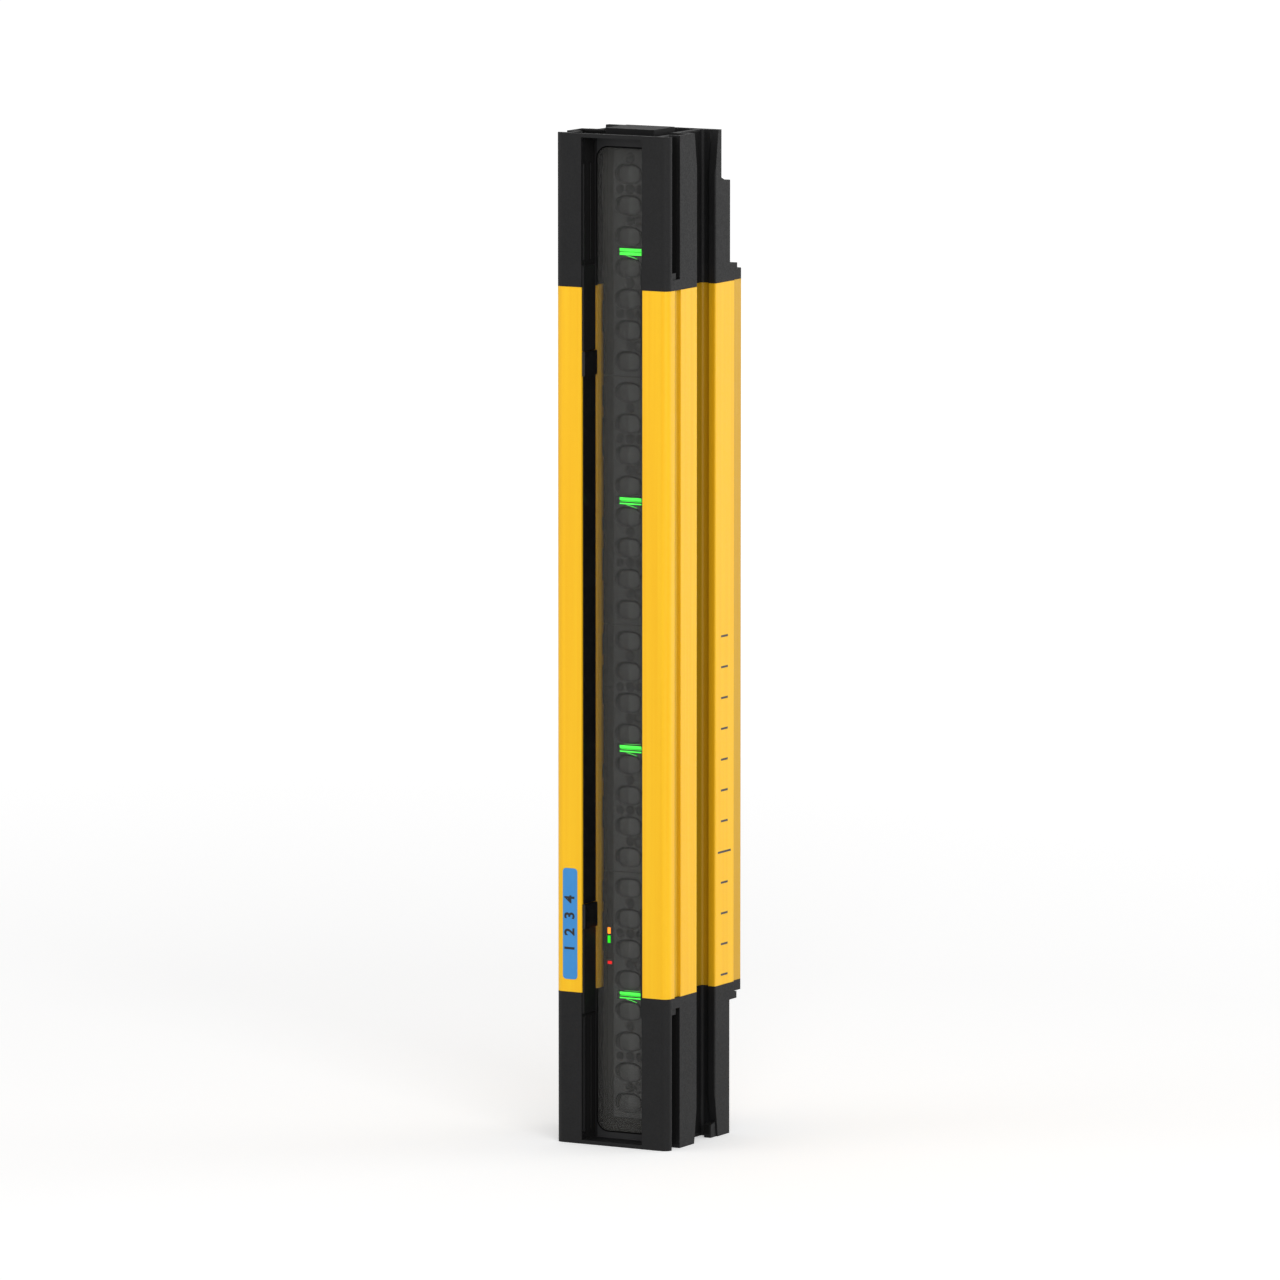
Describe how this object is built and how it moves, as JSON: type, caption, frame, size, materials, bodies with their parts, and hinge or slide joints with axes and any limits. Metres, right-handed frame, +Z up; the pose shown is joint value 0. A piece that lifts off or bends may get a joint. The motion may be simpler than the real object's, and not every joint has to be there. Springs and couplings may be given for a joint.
{
  "type": "safety light curtain",
  "caption": "Slim upright light-curtain receiver: extruded yellow housing, black moulded end caps, tinted window over a row of lenses, side tee slots for brackets.",
  "frame": {"origin": "on the plane of the lower cap's end face, under the middle of the housing's width and depth", "axes": "+Z up along the housing, -Y out of the window towards the beams, +X to the right as the window is looked at"},
  "size_m": [0.036, 0.0453, 0.2859],
  "materials": {
    "yellow_housing": "powder-coated extruded aluminium, satin yellow",
    "black_cap": "glass-filled black plastic, fine moulded texture",
    "tinted_window": "smoke-tinted clear acrylic sheet",
    "black_lining": "black moulded strip",
    "gasket_rubber": "black flat seal",
    "carrier_plastic": "black moulded optic carrier",
    "lens_plastic": "dark infrared-passing lens plastic, polished",
    "zone_light_green": "green light pipe, lit",
    "status_light_orange": "orange light pipe, lit",
    "status_light_green": "green light pipe, lit",
    "status_light_red": "red light pipe, lit",
    "circuit_board": "green solder-masked circuit board",
    "photodiode_package": "dark epoxy package",
    "connector_plastic": "black connector plastic",
    "contact_metal": "gold-plated brass pins",
    "flat_lead": "flat flexible lead",
    "cover_plastic": "dark grey moulded cover",
    "screw_steel": "zinc-plated steel",
    "blue_label": "plain blue printed film"
  },
  "bodies": {
    "root": {"board_header": "connector_plastic", "board_link_1": "connector_plastic", "board_link_2": "connector_plastic", "board_link_3": "connector_plastic", "bottom_cap_screws": "screw_steel", "bottom_end_cap": "black_cap", "bottom_gasket": "gasket_rubber", "connector_lead": "flat_lead", "connector_pins": "contact_metal", "connector_socket": "connector_plastic", "control_board": "circuit_board", "housing": "yellow_housing", "left_lower_clip": "black_lining", "left_upper_clip": "black_lining", "left_window_seal": "black_lining", "lens_strip_1": "lens_plastic", "lens_strip_2": "lens_plastic", "lens_strip_3": "lens_plastic", "lens_strip_4": "lens_plastic", "optic_carrier_1": "carrier_plastic", "optic_carrier_2": "carrier_plastic", "optic_carrier_3": "carrier_plastic", "optic_carrier_4": "carrier_plastic", "photodiodes_1": "photodiode_package", "photodiodes_2": "photodiode_package", "photodiodes_3": "photodiode_package", "photodiodes_4": "photodiode_package", "receiver_board_1": "circuit_board", "receiver_board_2": "circuit_board", "receiver_board_3": "circuit_board", "receiver_board_4": "circuit_board", "right_lower_clip": "black_lining", "right_upper_clip": "black_lining", "right_window_seal": "black_lining", "status_light_green": "status_light_green", "status_light_orange": "status_light_orange", "status_light_red": "status_light_red", "top_cap_screws": "screw_steel", "top_end_cap": "black_cap", "top_gasket": "gasket_rubber", "top_port_cover": "cover_plastic", "window": "tinted_window", "zone_label": "blue_label", "zone_light_1": "zone_light_green", "zone_light_2": "zone_light_green", "zone_light_3": "zone_light_green", "zone_light_4": "zone_light_green"}
  },
  "joints": []
}
